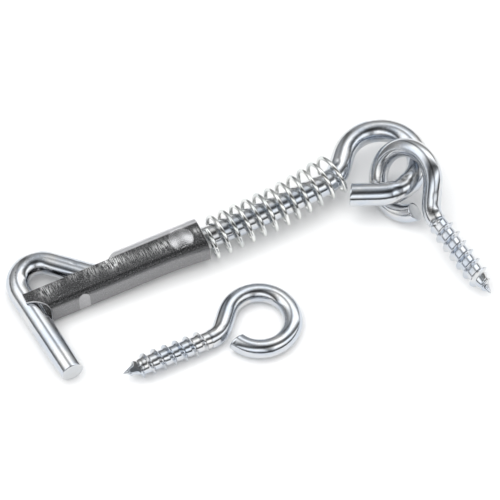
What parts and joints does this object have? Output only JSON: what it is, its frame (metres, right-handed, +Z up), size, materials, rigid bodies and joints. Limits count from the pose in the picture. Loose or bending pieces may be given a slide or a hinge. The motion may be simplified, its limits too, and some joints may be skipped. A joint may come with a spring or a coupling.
{
  "type": "spring latch gate hook with screw eyes",
  "caption": "Bent wire gate hook with a spring-loaded sleeve latch, one screw eye linked in its eye and a loose screw eye as the catch.",
  "frame": {"origin": "middle of the footprint of the whole set, on the surface it lies on", "axes": "+X along the latch sleeve from the hook end to the eye end, +Y the side the hook's bight bulges to, +Z up from the surface"},
  "size_m": [0.0954, 0.0496, 0.015],
  "materials": {
    "zinc_wire": "bright clear zinc plating over drawn steel wire, near mirror",
    "zinc_sheet": "zinc plated steel sheet, darker and mottled, fine cross scratches",
    "spring_wire": "zinc plated spring wire, slightly warm grey"
  },
  "bodies": {
    "hook": {"hook_wire": "zinc_wire", "latch_spring": "spring_wire"},
    "latch": {"latch_sleeve": "zinc_sheet"},
    "linked_eye": {"linked_screw_eye": "zinc_wire"},
    "catch_eye": {"catch_screw_eye": "zinc_wire"}
  },
  "joints": [
    {"name": "latch_slide", "type": "slide", "parent": "hook", "child": "latch", "axis": [0.999, 0, 0.0436], "range_m": [0, 0.016], "stiffness_N_per_m": 350, "springref_m": -0.006, "deforming": ["latch_spring"]},
    {"name": "linked_eye_swing", "type": "hinge", "parent": "hook", "child": "linked_eye", "pos_m": [0.03709, 0.01293, 0.00694], "axis": [-0.0436, 0, 0.999], "range_deg": [-35, 120]},
    {"name": "catch_lift", "type": "slide", "parent": "hook", "child": "catch_eye", "axis": [0, 0, 1], "range_m": [0, 0.03]}
  ]
}
